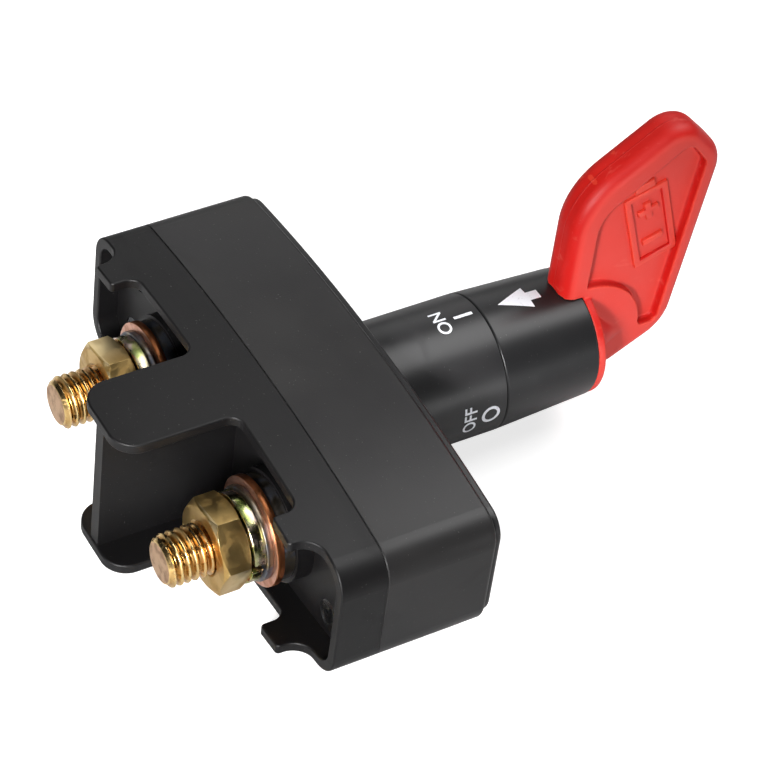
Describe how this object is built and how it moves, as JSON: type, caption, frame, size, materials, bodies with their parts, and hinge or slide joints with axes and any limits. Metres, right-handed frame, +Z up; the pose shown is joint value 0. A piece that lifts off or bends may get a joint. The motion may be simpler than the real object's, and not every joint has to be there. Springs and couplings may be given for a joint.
{
  "type": "battery switch",
  "caption": "Panel-mounted battery isolator switch with a red turn handle on a round neck, a shallow black case and threaded brass terminals behind it.",
  "frame": {"origin": "where the knob axis meets the panel face of the mounting plate", "axes": "+Y along the knob axis towards the terminals, +X along the case, +Z up, which is where the handle points when ON"},
  "size_m": [0.097, 0.1258, 0.0651],
  "materials": {
    "case_plastic": "satin moulded, slightly dusty",
    "collar_plastic": "smooth satin",
    "handle_plastic": "semi-gloss moulded",
    "stud_brass": "turned, lightly tarnished",
    "nut_brass": "stained",
    "copper": "pinkish copper, dull",
    "zinc_steel": "yellow zinc, iridescent",
    "dull_zinc": "dull passivated zinc",
    "silver": "silver contact alloy",
    "screw_steel": "bright steel",
    "spring_steel": "oiled",
    "seal_rubber": "matt",
    "thermoset": "matt phenolic",
    "bush_plastic": "natural acetal"
  },
  "bodies": {
    "housing": {"front_shell": "case_plastic", "neck_housing": "case_plastic", "rear_shroud": "case_plastic", "shell_gasket": "seal_rubber", "contact_block": "thermoset", "battery_stud": "stud_brass", "load_stud": "stud_brass", "battery_nut": "nut_brass", "load_nut": "nut_brass", "battery_spring_washer": "zinc_steel", "load_spring_washer": "zinc_steel", "battery_flat_washer": "dull_zinc", "load_flat_washer": "dull_zinc", "battery_copper_washer": "copper", "load_copper_washer": "copper", "battery_seat_ring": "dull_zinc", "load_seat_ring": "dull_zinc", "battery_contact": "copper", "load_contact": "copper", "fixed_tips": "silver", "stud_seals": "seal_rubber", "shell_screws": "screw_steel", "panel_inserts": "nut_brass", "neck_bush": "bush_plastic", "return_spring": "spring_steel"},
    "knob": {"collar": "collar_plastic", "shaft_seal": "seal_rubber", "spindle": "screw_steel", "handle": "handle_plastic", "thrust_washer": "bush_plastic", "cam": "bush_plastic", "through_screw": "screw_steel"},
    "bridge": {"bridge_carrier": "bush_plastic", "contact_spring": "spring_steel", "contact_bridge": "copper", "bridge_tips": "silver", "stem_clip": "spring_steel"}
  },
  "joints": [
    {"name": "handle_turn", "type": "hinge", "parent": "housing", "child": "knob", "pos_m": [0, 0, 0], "axis": [0, -1, 0], "range_deg": [0, 90]},
    {"name": "bridge_lift", "type": "slide", "parent": "housing", "child": "bridge", "axis": [0, 1, 0], "range_m": [-0.003, 0], "deforming": ["return_spring"]}
  ],
  "couplings": [
    {"joint": "bridge_lift", "follows": "handle_turn", "m_per_rad": -0.0019098}
  ]
}
